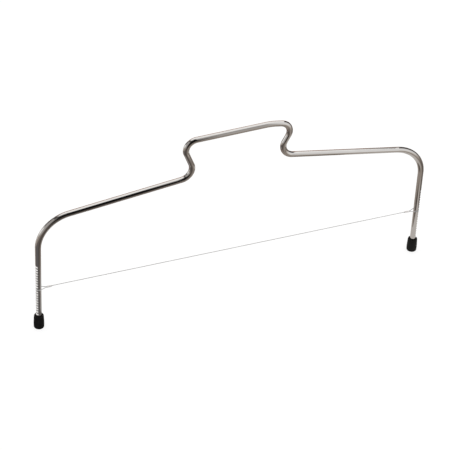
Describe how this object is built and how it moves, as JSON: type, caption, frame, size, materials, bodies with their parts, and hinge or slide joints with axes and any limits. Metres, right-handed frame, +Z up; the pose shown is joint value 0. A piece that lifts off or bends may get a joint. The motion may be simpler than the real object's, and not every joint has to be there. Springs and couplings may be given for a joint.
{
  "type": "cake leveler",
  "caption": "Wire cake leveler: bent chromed rod frame with raised handle, rubber feet, and a thin cutting wire looped in side notches on both legs.",
  "frame": {"origin": "on the surface that the feet stand on, midway between the two feet", "axes": "+X to the right along the cutting wire, from the left leg to the right leg; +Y away from the front view, across the rod's thickness; +Z up, from the feet to the handle"},
  "size_m": [0.3182, 0.0082, 0.1531],
  "materials": {
    "chrome_rod": "bright chrome plate on round steel rod",
    "black_rubber": "black moulded rubber, slightly satin",
    "steel_wire": "bright drawn stainless wire",
    "crimp_steel": "pressed steel sleeve"
  },
  "bodies": {
    "leveler": {"frame": "chrome_rod", "left_foot": "black_rubber", "right_foot": "black_rubber"},
    "wire": {"cutting_wire": "steel_wire", "left_crimp": "crimp_steel", "right_crimp": "crimp_steel"}
  },
  "joints": [
    {"name": "wire_height", "type": "slide", "parent": "leveler", "child": "wire", "axis": [0, 0, 1], "range_m": [-0.024, 0.0192]}
  ]
}
